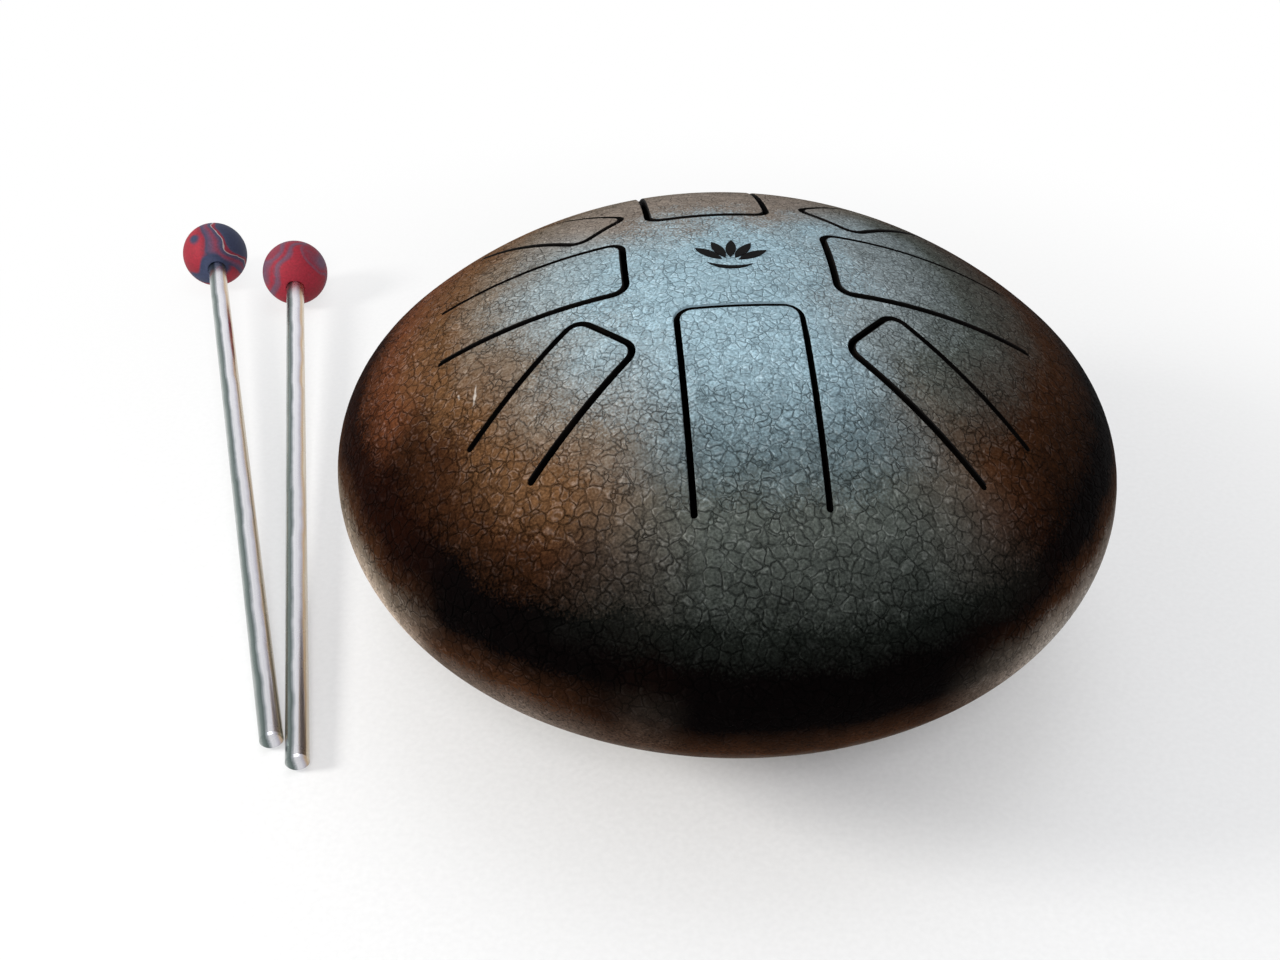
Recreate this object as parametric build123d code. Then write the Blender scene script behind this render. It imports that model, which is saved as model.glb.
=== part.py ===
from build123d import *
from math import asin, atan2, cos, degrees, hypot, sin, sqrt
from typing import NamedTuple
import os

# Steel tongue drum with its pair of ball-headed mallets. Millimetres, +Z up.
# The origin is on the drum's axis, on the surface that it stands on. The player sits at -Y.

# Pressed steel dishes, top and bottom alike
DRUM_DIAMETER = 203.0
SHELL_DEPTH = 57.5  # rim to pole of one dish, outside
KNUCKLE_RADIUS = 28.0  # outside radius of the turned-in edge
WALL = 2.0
GROUND_CLEARANCE = 4.0  # floor to the pole that the bottom dish would have without its port
PORT_DIAMETER = 50.0  # sound port in the bottom dish

# Rim weld, ground flush: a bead in the V between the two bevelled edges
WELD_ROOT_GAP = 0.8
WELD_FACE_WIDTH = 4.0

# Tongues, cut from the top dish, evenly spaced round its pole
SLOT_WIDTH = 1.5
TIP_CORNER_RADIUS = 4.0  # on the middle line of the slot
ROOT_CLEARANCE = 0.05  # hairline at the root, where the steel bends
FRONT_BEARING = -82.5  # degrees, of the front tongue, anticlockwise from +X


class Tongue(NamedTuple):
    """One tongue. Its radii run from the drum's axis to the middle line of its slot, seen from above."""

    name: str
    width: float  # between the middle lines of its two side slots
    tip_radius: float
    root_radius: float
    side_shift: float  # of its own middle line, anticlockwise


TONGUES = (
    Tongue("front", width=29.5, tip_radius=21.0, root_radius=73.0, side_shift=-0.5),
    Tongue("front_right", width=19.5, tip_radius=40.0, root_radius=80.0, side_shift=2.0),
    Tongue("right", width=28.5, tip_radius=24.5, root_radius=73.0, side_shift=-1.0),
    Tongue("back_right", width=19.0, tip_radius=37.0, root_radius=76.0, side_shift=-2.0),
    Tongue("back", width=31.0, tip_radius=24.0, root_radius=73.0, side_shift=3.0),
    Tongue("back_left", width=18.5, tip_radius=38.5, root_radius=76.0, side_shift=4.0),
    Tongue("left", width=24.0, tip_radius=26.0, root_radius=72.0, side_shift=-0.5),
    Tongue("front_left", width=20.0, tip_radius=39.5, root_radius=76.0, side_shift=-5.0),
)

# Lotus emblem, a thin film on the pole of the top dish
EMBLEM_THICKNESS = 0.2
EMBLEM_CENTRE_Y = -4.5  # of the point that its petals fan out from
PETAL_COUNT = 5
PETAL_PITCH = 26.0  # degrees from one petal to the next
PETAL_START = 2.6  # from the fan's centre to a petal's foot
PETAL_LENGTH = 8.5
PETAL_WIDTH = 2.6
CRESCENT_LENGTH = 11.0  # of the crescent that the petals stand on
CRESCENT_DEPTH = 2.6
CRESCENT_HOLLOW = 1.3

# Rubber feet, each held by a washer and a screw that is tapped into the bottom dish
FOOT_COUNT = 4
FOOT_CIRCLE_RADIUS = 50.0
FOOT_BEARING = 45.0  # degrees, of the first foot
FOOT_BASE_DIAMETER = 16.0
FOOT_TOP_DIAMETER = 20.0  # where its axis meets the dish
COUNTERBORE_DEPTH = 5.0
COUNTERBORE_CLEARANCE = 0.25  # around the washer
SCREW_DIAMETER = 4.0
SCREW_HEAD_DIAMETER = 7.6
SCREW_HEAD_HEIGHT = 2.6
SCREW_HEAD_ROUNDING = 1.2
SCREW_DRIVE_WIDTH = 2.5  # hexagon socket, across flats
SCREW_DRIVE_DEPTH = 1.6
SCREW_REACH = 3.0  # of its end beyond the inside of the dish
SCREW_CLEARANCE = 0.05  # around the shank
WASHER_DIAMETER = 9.0
WASHER_THICKNESS = 0.8

# Mallets: a rubber ball pushed on a metal rod. They lie to the drum's left, heads away from the player.
BALL_DIAMETER = 24.0
ROD_DIAMETER = 6.35
ROD_LENGTH = 250.0
ROD_END_CHAMFER = 0.5
LEFT_SOCKET_DEPTH = 9.0  # from the left ball's surface to its rod's end inside it
RIGHT_SOCKET_DEPTH = 21.0  # the right ball is pushed further on
SOCKET_CLEARANCE = 0.02
MALLET_RIM_GAP = 5.5  # from the drum's side to the right rod's plain end, along X
MALLET_END_Y = -67.5  # of the right rod's plain end
MALLET_HEADING = 13.8  # degrees, of the right mallet's head, turned left from +Y
MALLET_END_STEP = 9.0  # of the left rod's end towards the heads, along the right rod
MALLET_END_GAP = 0.3  # between the two rods at their ends
MALLET_HEAD_GAP = 6.5  # between the two balls, across the right rod

# Worked out from the sizes above
DRUM_RADIUS = DRUM_DIAMETER / 2
RIM_HEIGHT = GROUND_CLEARANCE + SHELL_DEPTH
KNUCKLE_CENTRE_RADIUS = DRUM_RADIUS - KNUCKLE_RADIUS
# The crown's arc and the knuckle's arc meet without a corner.
CROWN_RADIUS = (KNUCKLE_CENTRE_RADIUS**2 + SHELL_DEPTH**2 - KNUCKLE_RADIUS**2) / (
    2 * (SHELL_DEPTH - KNUCKLE_RADIUS)
)
CROWN_SINK = CROWN_RADIUS - SHELL_DEPTH  # from the rim down to the top crown's centre
KNUCKLE_SWEEP = degrees(atan2(CROWN_SINK, KNUCKLE_CENTRE_RADIUS))  # from the rim to the crown's edge
CROWN_CENTRE = Vector(0, 0, RIM_HEIGHT - CROWN_SINK)
RIM_PLANE = Plane.XY.offset(RIM_HEIGHT)
TONGUE_PITCH = 360 / len(TONGUES)
HALF_SLOT = SLOT_WIDTH / 2
WASHER_SEAT = COUNTERBORE_DEPTH - WASHER_THICKNESS  # height of the face that the screw's head bears on
SCREW_HOLE_RADIUS = SCREW_DIAMETER / 2 + SCREW_CLEARANCE
BALL_RADIUS = BALL_DIAMETER / 2
ROD_RADIUS = ROD_DIAMETER / 2
# From each rod's plain end to its ball's centre
LEFT_REACH = ROD_LENGTH - LEFT_SOCKET_DEPTH + BALL_RADIUS
RIGHT_REACH = ROD_LENGTH - RIGHT_SOCKET_DEPTH + BALL_RADIUS

FROM_BELOW = (Align.CENTER, Align.CENTER, Align.MIN)


def dish_section(inset):
    """Half section of the dish filled solid, its surface moved in by inset, with the rim on the X axis."""
    knuckle_radius = KNUCKLE_RADIUS - inset
    crown_radius = CROWN_RADIUS - inset
    knuckle = CenterArc((KNUCKLE_CENTRE_RADIUS, 0), knuckle_radius, 0, KNUCKLE_SWEEP)
    crown = CenterArc((0, -CROWN_SINK), crown_radius, KNUCKLE_SWEEP, 90 - KNUCKLE_SWEEP)
    rim = (KNUCKLE_CENTRE_RADIUS + knuckle_radius, 0)
    inside = Polyline((0, crown_radius - CROWN_SINK), (0, 0), rim)
    return make_face([*knuckle.edges(), *crown.edges(), *inside.edges()])


def weld_section():
    """Section of the V groove at the rim, about the X axis, carried outwards past the wall."""
    inner_radius = DRUM_RADIUS - WALL
    outer_radius = DRUM_RADIUS + WALL
    inner_half = WELD_ROOT_GAP / 2
    outer_half = WELD_FACE_WIDTH - inner_half
    groove = Polyline(
        (inner_radius, -inner_half),
        (outer_radius, -outer_half),
        (outer_radius, outer_half),
        (inner_radius, inner_half),
        close=True,
    )
    return make_face(groove.edges())


def turned(section):
    """A section drawn with the rim on the X axis, turned once round the drum's axis."""
    return revolve(Plane.XZ * Pos(0, RIM_HEIGHT) * section, Axis.Z)


def dish_wall():
    """The bare wall of the top dish, its edge bevelled for the weld."""
    return turned(dish_section(0) - dish_section(WALL) - weld_section())


def tongue_face(tip, root, width, corner):
    """Flat outline with two round corners at its tip, x running from tip to root."""
    sheet = Pos((tip + root) / 2, 0) * Rectangle(root - tip, width)
    return fillet(sheet.vertices().sort_by(Axis.X)[:2], corner)


class TongueCut:
    """A tongue's outline in the plane at the crown's centre that faces the tongue squarely."""

    def __init__(self, index, tongue):
        tip_angle = asin(tongue.tip_radius / CROWN_RADIUS)
        root_angle = asin(tongue.root_radius / CROWN_RADIUS)
        lean = degrees(tip_angle + root_angle) / 2
        bearing = FRONT_BEARING + TONGUE_PITCH * index
        along = Vector(1, 0, 0).rotate(Axis.Y, lean).rotate(Axis.Z, bearing)
        outward = Vector(0, 0, 1).rotate(Axis.Y, lean).rotate(Axis.Z, bearing)
        self.name = tongue.name
        self.width = tongue.width
        self.root = CROWN_RADIUS * sin((root_angle - tip_angle) / 2)
        self.tip = -self.root
        centre = CROWN_CENTRE + outward.cross(along) * tongue.side_shift
        self.plane = Plane(origin=centre, x_dir=along, z_dir=outward)

    def through_dish(self, face):
        return extrude(self.plane * face, amount=CROWN_RADIUS + WALL, dir=self.plane.z_dir)

    def window(self):
        """What is cut from the dish: the tongue with its slots, and the slots' round ends."""
        corner = TIP_CORNER_RADIUS + HALF_SLOT
        face = tongue_face(self.tip - HALF_SLOT, self.root, self.width + SLOT_WIDTH, corner)
        for side in (-1, 1):
            face += Pos(self.root, side * self.width / 2) * Circle(HALF_SLOT)
        return self.through_dish(face)

    def blade(self):
        """What stays between the slots."""
        corner = max(TIP_CORNER_RADIUS - HALF_SLOT, HALF_SLOT)
        root = self.root - ROOT_CLEARANCE
        return self.through_dish(tongue_face(self.tip + HALF_SLOT, root, self.width - SLOT_WIDTH, corner))


def tongue_cuts():
    return [TongueCut(index, tongue) for index, tongue in enumerate(TONGUES)]


def top_shell(wall):
    return wall - [cut.window() for cut in tongue_cuts()]


def tongues(wall):
    return {f"tongue_{cut.name}": wall & cut.blade() for cut in tongue_cuts()}


def bottom_shell(wall):
    """The same dish turned over, with the sound port and a tapped hole for each foot's screw."""
    port = extrude(Circle(PORT_DIAMETER / 2), RIM_HEIGHT)
    hole = extrude(Circle(SCREW_HOLE_RADIUS), RIM_HEIGHT)
    return mirror(wall, RIM_PLANE) - port - [place * hole for place in foot_places()]


def rim_weld():
    """The bead that fills the groove, flush with both dishes."""
    wall = dish_section(0) - dish_section(WALL)
    both_walls = wall + mirror(wall, Plane.XZ)
    return turned(both_walls & weld_section())


def petal():
    """A pointed petal along +Y between two like arcs."""
    foot = (0, PETAL_START)
    tip = (0, PETAL_START + PETAL_LENGTH)
    waist = PETAL_START + PETAL_LENGTH / 2
    right = ThreePointArc(foot, (PETAL_WIDTH / 2, waist), tip)
    left = ThreePointArc(tip, (-PETAL_WIDTH / 2, waist), foot)
    return make_face([*right.edges(), *left.edges()])


def crescent():
    """The crescent below the petals, its hollow side up."""
    left = (-CRESCENT_LENGTH / 2, 0)
    right = (CRESCENT_LENGTH / 2, 0)
    lower = ThreePointArc(left, (0, -CRESCENT_DEPTH), right)
    upper = ThreePointArc(right, (0, -CRESCENT_HOLLOW), left)
    return make_face([*lower.edges(), *upper.edges()])


def lotus_emblem():
    """A fan of petals over a crescent, as a film that follows the crown."""
    first_turn = -PETAL_PITCH * (PETAL_COUNT - 1) / 2
    figure = crescent()
    for index in range(PETAL_COUNT):
        figure += Rot(0, 0, first_turn + PETAL_PITCH * index) * petal()
    # The spheres' own poles are turned to the sides, clear of the figure.
    skin = Sphere(CROWN_RADIUS + EMBLEM_THICKNESS) - Sphere(CROWN_RADIUS)
    film = Pos(CROWN_CENTRE) * Rot(90, 0, 0) * skin
    height = SHELL_DEPTH + EMBLEM_THICKNESS + PETAL_WIDTH
    stamps = [extrude(RIM_PLANE * Pos(0, EMBLEM_CENTRE_Y) * face, height) for face in figure.faces()]
    return Compound(children=[film & stamp for stamp in stamps])


def foot_places():
    """The feet's places on the floor."""
    return PolarLocations(FOOT_CIRCLE_RADIUS, FOOT_COUNT, start_angle=FOOT_BEARING)


def dish_height(radius, inset):
    """Height above the floor of the bottom dish's crown at a radius, its surface moved in by inset."""
    return RIM_HEIGHT + CROWN_SINK - sqrt((CROWN_RADIUS - inset) ** 2 - radius**2)


def foot_blank():
    """A rubber foot on the origin, tall enough to reach into the dish all round."""
    base_radius = FOOT_BASE_DIAMETER / 2
    height = dish_height(FOOT_CIRCLE_RADIUS + FOOT_TOP_DIAMETER, 0)
    flare = (FOOT_TOP_DIAMETER / 2 - base_radius) / dish_height(FOOT_CIRCLE_RADIUS, 0)
    # The cone's seam faces along the circle of feet, where the dish runs level.
    cone = Rot(0, 0, 90) * Cone(base_radius, base_radius + flare * height, height, align=FROM_BELOW)
    counterbore = Circle(WASHER_DIAMETER / 2 + COUNTERBORE_CLEARANCE)
    return cone - extrude(counterbore, COUNTERBORE_DEPTH) - extrude(Circle(SCREW_HOLE_RADIUS), height)


def feet():
    """The feet, each moulded to the dish that it carries."""
    filled_dish = mirror(turned(dish_section(0)), RIM_PLANE)
    places = enumerate(foot_places(), start=1)
    return {f"foot_{number}": place * foot_blank() - filled_dish for number, place in places}


def foot_washers():
    ring = Circle(WASHER_DIAMETER / 2) - Circle(SCREW_HOLE_RADIUS)
    washer = Pos(0, 0, WASHER_SEAT) * extrude(ring, WASHER_THICKNESS)
    return Compound(children=[place * washer for place in foot_places()])


def foot_screws():
    """Round-headed screws, heads down in the feet's counterbores, ends through the dish."""
    length = dish_height(FOOT_CIRCLE_RADIUS, WALL) + SCREW_REACH - WASHER_SEAT
    head = Cylinder(SCREW_HEAD_DIAMETER / 2, SCREW_HEAD_HEIGHT, align=FROM_BELOW)
    head = fillet(head.edges().sort_by(Axis.Z)[0], SCREW_HEAD_ROUNDING)
    head -= extrude(RegularPolygon(SCREW_DRIVE_WIDTH / 2, 6, major_radius=False), SCREW_DRIVE_DEPTH)
    shank = Pos(0, 0, SCREW_HEAD_HEIGHT) * Cylinder(SCREW_DIAMETER / 2, length, align=FROM_BELOW)
    screw = Pos(0, 0, WASHER_SEAT - SCREW_HEAD_HEIGHT) * (head + shank)
    return Compound(children=[place * screw for place in foot_places()])


def mallet_plane(end, heading, reach):
    """Plane on the rod's plain end that faces the head, for a mallet that lies on the floor."""
    # The ball's lowest point and the lowest edge of the rod's end both touch the floor.
    tilt = asin(BALL_RADIUS / hypot(reach, ROD_RADIUS)) - atan2(ROD_RADIUS, reach)
    along = Vector(0, 1, 0).rotate(Axis.X, degrees(tilt)).rotate(Axis.Z, heading)
    level = Vector(1, 0, 0).rotate(Axis.Z, heading)
    return Plane(origin=(end.X, end.Y, ROD_RADIUS * cos(tilt)), x_dir=level, z_dir=along)


def mallet_planes():
    """The planes of the left mallet and the right one, which lies beside the drum."""
    right_end = Vector(-DRUM_RADIUS - MALLET_RIM_GAP, MALLET_END_Y, 0)
    side_step = ROD_DIAMETER + MALLET_END_GAP
    left_end = right_end + Vector(-side_step, MALLET_END_STEP, 0).rotate(Axis.Z, MALLET_HEADING)
    # The left mallet is turned to part the two balls.
    spread = degrees(asin((BALL_DIAMETER + MALLET_HEAD_GAP - side_step) / LEFT_REACH))
    left_plane = mallet_plane(left_end, MALLET_HEADING + spread, LEFT_REACH)
    return left_plane, mallet_plane(right_end, MALLET_HEADING, RIGHT_REACH)


def mallet_rod():
    """A rod on the origin, along +Z."""
    rod = Cylinder(ROD_RADIUS, ROD_LENGTH, align=FROM_BELOW)
    return chamfer(rod.faces().filter_by(Axis.Z).edges(), ROD_END_CHAMFER)


def mallet_head(reach):
    """The ball on the far end of that rod."""
    ball = Pos(0, 0, reach) * Sphere(BALL_RADIUS)
    return ball - extrude(Circle(ROD_RADIUS + SOCKET_CLEARANCE), ROD_LENGTH)


def mallets():
    left_plane, right_plane = mallet_planes()
    return {
        "left_mallet_rod": left_plane * mallet_rod(),
        "left_mallet_head": left_plane * mallet_head(LEFT_REACH),
        "right_mallet_rod": right_plane * mallet_rod(),
        "right_mallet_head": right_plane * mallet_head(RIGHT_REACH),
    }


def tongue_drum():
    """Every node of the set, by name."""
    wall = dish_wall()
    return {
        "top_shell": top_shell(wall),
        **tongues(wall),
        "bottom_shell": bottom_shell(wall),
        "rim_weld": rim_weld(),
        "lotus_emblem": lotus_emblem(),
        **feet(),
        "foot_washers": foot_washers(),
        "foot_screws": foot_screws(),
        **mallets(),
    }


os.makedirs("parts", exist_ok=True)
for node, shape in tongue_drum().items():
    export_step(shape, f"parts/{node}.step")
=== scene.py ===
from math import acos, asin, atan2, cos, hypot, pi, radians, sin, sqrt, tau
import bpy
import numpy as np
from mathutils import Matrix, Vector
from mathutils.geometry import delaunay_2d_cdt


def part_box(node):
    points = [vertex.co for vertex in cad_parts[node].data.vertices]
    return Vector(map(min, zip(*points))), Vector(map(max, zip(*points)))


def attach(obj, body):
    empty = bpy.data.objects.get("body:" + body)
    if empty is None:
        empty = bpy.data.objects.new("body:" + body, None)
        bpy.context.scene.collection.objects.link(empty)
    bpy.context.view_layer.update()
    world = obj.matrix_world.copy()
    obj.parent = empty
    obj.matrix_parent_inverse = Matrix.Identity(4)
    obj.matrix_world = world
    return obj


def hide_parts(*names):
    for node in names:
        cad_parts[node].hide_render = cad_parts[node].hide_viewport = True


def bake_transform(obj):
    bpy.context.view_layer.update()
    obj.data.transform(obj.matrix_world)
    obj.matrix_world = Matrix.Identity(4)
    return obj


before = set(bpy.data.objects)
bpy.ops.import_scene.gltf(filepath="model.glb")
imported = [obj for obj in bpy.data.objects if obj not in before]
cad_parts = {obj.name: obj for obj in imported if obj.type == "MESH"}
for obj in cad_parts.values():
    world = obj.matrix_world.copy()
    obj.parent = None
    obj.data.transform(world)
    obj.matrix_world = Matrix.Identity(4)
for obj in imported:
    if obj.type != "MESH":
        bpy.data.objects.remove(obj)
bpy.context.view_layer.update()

# Lengths are in metres, in the drum's own frame: its axis is Z, it stands on z = 0, and the player is at -Y.
MM = 0.001
UP = Vector((0, 0, 1))

# Pressed dishes, top and bottom alike
DRUM_RADIUS = 101.5 * MM
SHELL_DEPTH = 57.5 * MM  # from the rim to the pole
KNUCKLE_RADIUS = 28 * MM  # of the turned-in edge
WALL = 2 * MM
PORT_RADIUS = 25 * MM  # of the sound port in the bottom dish
PORT_LIP = 0.6 * MM  # rounding of the port's edges
RIM_HEIGHT = (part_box("rim_weld")[0].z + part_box("rim_weld")[1].z) / 2
KNUCKLE_CENTRE_RADIUS = DRUM_RADIUS - KNUCKLE_RADIUS
POLE_RISE = SHELL_DEPTH - KNUCKLE_RADIUS  # of the pole above the top of the knuckle's circle
CROWN_RADIUS = (KNUCKLE_CENTRE_RADIUS**2 + SHELL_DEPTH**2 - KNUCKLE_RADIUS**2) / (2 * POLE_RISE)
CROWN_SINK = CROWN_RADIUS - SHELL_DEPTH  # of the crown's centre under the rim
CROWN_LEAN = atan2(KNUCKLE_CENTRE_RADIUS, CROWN_SINK)  # of the wall where the crown meets the knuckle
CROWN_RUN = CROWN_RADIUS * CROWN_LEAN  # along the outside, from the pole to there

# Weld bead between the bevelled edges of the dishes, ground flush
WELD_HALF_FACE = 2 * MM
WELD_HALF_ROOT = 0.4 * MM
WELD_LEAN = acos(WELD_HALF_FACE / KNUCKLE_RADIUS)  # of the outside where it meets the bead
WELD_ROOT_LEAN = acos(WELD_HALF_ROOT / (KNUCKLE_RADIUS - WALL))  # of the inside there

# Slots and the tongues between them
HALF_SLOT = 0.75 * MM
TIP_CORNER = 4 * MM  # radius, on the middle line of the slot
EDGE_ROUNDING = 0.3 * MM  # of the painted edges along the slots
FRONT_PAINT_DEPTH = 0.75 * MM  # that the paint reaches into the front slot, towards which it was sprayed
SLOT_PAINT_WHOLE_Y = -23 * MM  # the paint in the front slot is whole as far out as this
SLOT_PAINT_END_Y = -28 * MM  # and has faded away here
FRONT_BEARING = radians(-82.5)
TONGUES = (  # name, then in millimetres its width, tip and root from the axis, and its shift to the left
    ("front", 29.5, 21.0, 73.0, -0.5),
    ("front_right", 19.5, 40.0, 80.0, 2.0),
    ("right", 28.5, 24.5, 73.0, -1.0),
    ("back_right", 19.0, 37.0, 76.0, -2.0),
    ("back", 31.0, 24.0, 73.0, 3.0),
    ("back_left", 18.5, 38.5, 76.0, 4.0),
    ("left", 24.0, 26.0, 72.0, -0.5),
    ("front_left", 20.0, 39.5, 76.0, -5.0),
)

# Pale scuffs in the lacquer, in millimetres: each one's middle, from the middle of the rim, and half sizes
SCUFFS = (
    ((-58.8, -37.0, 38.3), (0.5, 4.6, 3.0)),
    ((-62.5, -35.5, 36.6), (0.35, 1.2, 1.2)),
)

# Feet
FOOT_COUNT = 4
FOOT_BEARING = 45  # degrees, of the first foot
FOOT_CIRCLE_RADIUS = 50 * MM
FOOT_BASE_RADIUS = 8 * MM
FOOT_TOP_RADIUS = 10 * MM
FOOT_EDGE_ROUNDING = 1.2 * MM
COUNTERBORE_RADIUS = 4.75 * MM
COUNTERBORE_DEPTH = 5 * MM
COUNTERBORE_EDGE = 0.4 * MM  # chamfer round its mouth
FOOT_STRAIGHT = COUNTERBORE_DEPTH + 1 * MM  # height at which the foot starts to follow the dish

# Mallets
BALL_RADIUS = 12 * MM
ROD_RADIUS = 3.175 * MM
ROD_LENGTH = 250 * MM
ROD_CHAMFER = 0.5 * MM
SOCKET_LIP = 0.5 * MM  # rounding of the ball's socket

# Fineness of the made faces
FACE_SIZE = 2.2 * MM
SPOT_CLEARANCE = 0.4 * FACE_SIZE  # from an edge of the steel to the spots that fill the sheet
RIM_FACES = 320
TURNED_FACES = 64
BALL_FACES = 96
CORNER_STEPS = 12  # round a slot's corner or end
EDGE_STEPS = 3  # over a slot's rounded edge
CROWN_STEPS = 60
KNUCKLE_STEPS = 24
PORT_LIP_STEPS = 4
WELD_STEPS = 8
FOOT_STEPS = 6
ROD_STEPS = 59
BALL_STEPS = 71
SOCKET_LIP_STEPS = 5

# Tints of the lacquer; ICE, SAND, ASH and the near-blacks carry painted light, as the layers below say
ICE = "#98B2BD"
PEWTER = "#8C979A"
SLATE = "#637378"
MOSS = "#525752"
STONE = "#877C72"
ASH = "#A8A29A"
SAND = "#C2AF9E"
TAUPE = "#74685B"
OCHRE = "#65482F"
RUST = "#5C3520"
UMBER = "#382112"
RIM_SHADE_BROWN = "#160602"
RIM_SHADE_GREY = "#171A17"
RIM_SHADE_BLACK = "#040202"

# Layers of the lacquer by height: 0 at the bottom pole, 0.5 at the rim, 1 at the top pole
# Over the lacquer's own browns: a painted sheen of blue-grey towards the top, painted shade near-black at
# the rim, and a painted reflection of the floor in sandy grey-brown below it
UNDERSIDE = ((0.0, STONE), (0.33, STONE))
SANDY_BELLY = UNDERSIDE + ((0.43, SAND), (0.52, TAUPE), (0.565, UMBER), (0.61, RIM_SHADE_BROWN))
BROWN = SANDY_BELLY + ((0.66, RIM_SHADE_BROWN), (0.73, RUST), (0.83, OCHRE), (0.875, TAUPE), (0.93, PEWTER))
BROWN += ((1.0, ICE),)
ASHEN = UNDERSIDE + ((0.46, TAUPE), (0.57, RIM_SHADE_BROWN), (0.66, RIM_SHADE_BROWN), (0.72, RUST), (0.81, OCHRE), (0.87, TAUPE))
ASHEN += ((0.93, STONE), (0.965, STONE), (1.0, ICE))
DARK = UNDERSIDE + ((0.43, ASH), (0.51, STONE), (0.565, UMBER), (0.61, RIM_SHADE_BLACK), (0.66, RIM_SHADE_BLACK), (0.78, UMBER))
DARK += ((0.89, MOSS), (0.96, PEWTER), (1.0, ICE))
DEEP_RIM_SHADE = SANDY_BELLY + ((0.68, RIM_SHADE_BROWN), (0.77, UMBER), (0.83, OCHRE), (0.89, TAUPE), (0.94, PEWTER))
DEEP_RIM_SHADE += ((0.98, ICE),)
GOLDEN = UNDERSIDE + ((0.48, UMBER), (0.56, RIM_SHADE_BLACK), (0.655, RIM_SHADE_BLACK), (0.73, UMBER), (0.81, OCHRE))
GOLDEN += ((0.86, TAUPE), (0.91, PEWTER), (0.97, ICE))
COOL = ((0.27, STONE), (0.39, UMBER), (0.49, RIM_SHADE_BLACK), (0.60, RIM_SHADE_BLACK), (0.66, RIM_SHADE_GREY), (0.80, MOSS))
COOL += ((0.875, SLATE), (0.965, ICE))

# Tints by side over the brown coat, which paint the light and shade of each side: the bearing of its side in
# degrees, how squarely a spot must face it for the tint to start and to be whole, and its layers
PAINTED_SIDE_LIGHT = (
    (95, 0.1, 0.7, ASHEN),
    (5, 0.4, 0.85, DARK),
    (-141, 0.95, 0.995, DEEP_RIM_SHADE),
    (-115, 0.905, 0.985, GOLDEN),
    (-77, 0.77, 0.97, COOL),
)

# Marbling of the balls: where each was cut from the rolled stock, how far its layers fold, which way they
# lie and their colours; then the way to a patch of its own, where that starts, and its colours
LEFT_MARBLING = {
    "cut_at": (104 * MM, 168 * MM, 64 * MM),
    "fold_reach": 1.9,
    "layers_way": (0.85, -0.4, 0.2),
    "layers": (
        (0.0, "#7E1D2B"),
        (0.50, "#992635"),
        (0.59, "#842333"),
        (0.63, "#3A3A52"),
        (0.70, "#5C4058"),
        (0.77, "#7A3346"),
        (0.82, "#4A3F58"),
        (0.865, "#373D55"),
        (0.88, "#B5A9A8"),
        (0.895, "#842333"),
        (0.925, "#7A2B3C"),
        (0.95, "#373D55"),
        (1.0, "#31374F"),
    ),
    "patch_way": (-0.35, -0.25, -0.9),
    "patch_start": 0.79,
    "patch": ((0.75, "#272D44"), (0.9, "#303852"), (1.0, "#3B425C")),
}
RIGHT_MARBLING = {
    "cut_at": (91 * MM, 147 * MM, 56 * MM),
    "fold_reach": 2.4,
    "layers_way": (-0.6, -0.6, 0.2),
    "layers": (
        (0.0, "#7E1B28"),
        (0.45, "#902130"),
        (0.60, "#952433"),
        (0.66, "#6E3C4E"),
        (0.74, "#64475A"),
        (0.78, "#7E3041"),
        (0.84, "#902434"),
        (0.90, "#6E3C4E"),
        (0.96, "#64475A"),
        (1.0, "#7E3041"),
    ),
    "patch_way": (0.85, -0.4, -0.2),
    "patch_start": 0.76,
    "patch": ((0.75, "#802838"), (0.84, "#64475A"), (0.9, "#842838"), (1.0, "#64475A")),
}

# The photograph's view, in metres, and its lens, in pixels of the 1280 x 960 picture
CAMERA_PLACE = (0, -0.3271, 0.3020)
CAMERA_AHEAD = (-0.0538, 0.7887, -0.6124)
CAMERA_RIGHT = (0.9978, 0.0659, -0.0027)
PICTURE_WIDTH = 1280
FOCAL_LENGTH = 1518
FILM_WIDTH = 36

# Settings that many nodes share. A Mix node's sockets share their names, so they go by number.
TIMES = {"operation": "MULTIPLY"}
TIMES_PLUS = {"operation": "MULTIPLY_ADD"}
PLUS = {"operation": "ADD"}
MINUS = {"operation": "SUBTRACT"}
LARGER = {"operation": "MAXIMUM"}
ALONG = {"operation": "DOT_PRODUCT"}
LENGTH = {"operation": "LENGTH"}
TO_EDGE = {"feature": "DISTANCE_TO_EDGE"}
SOFT_STEP = {"interpolation_type": "SMOOTHSTEP"}
COLOUR_MIX = {"data_type": "RGBA"}
COLOUR_GLAZE = {"data_type": "RGBA", "blend_type": "MULTIPLY"}
VALUE_A, VALUE_B = 2, 3
COLOUR_A, COLOUR_B, MIXED = 6, 7, 2


# Finishes


def tint(code):
    """An sRGB hex colour as linear light."""
    parts = [int(code[i : i + 2], 16) / 255 for i in (1, 3, 5)]
    return (*[part / 12.92 if part <= 0.04045 else ((part + 0.055) / 1.055) ** 2.4 for part in parts], 1)


def per(size):
    """Scale of a pattern whose cells are that many millimetres wide."""
    return 1 / (size * MM)


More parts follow.
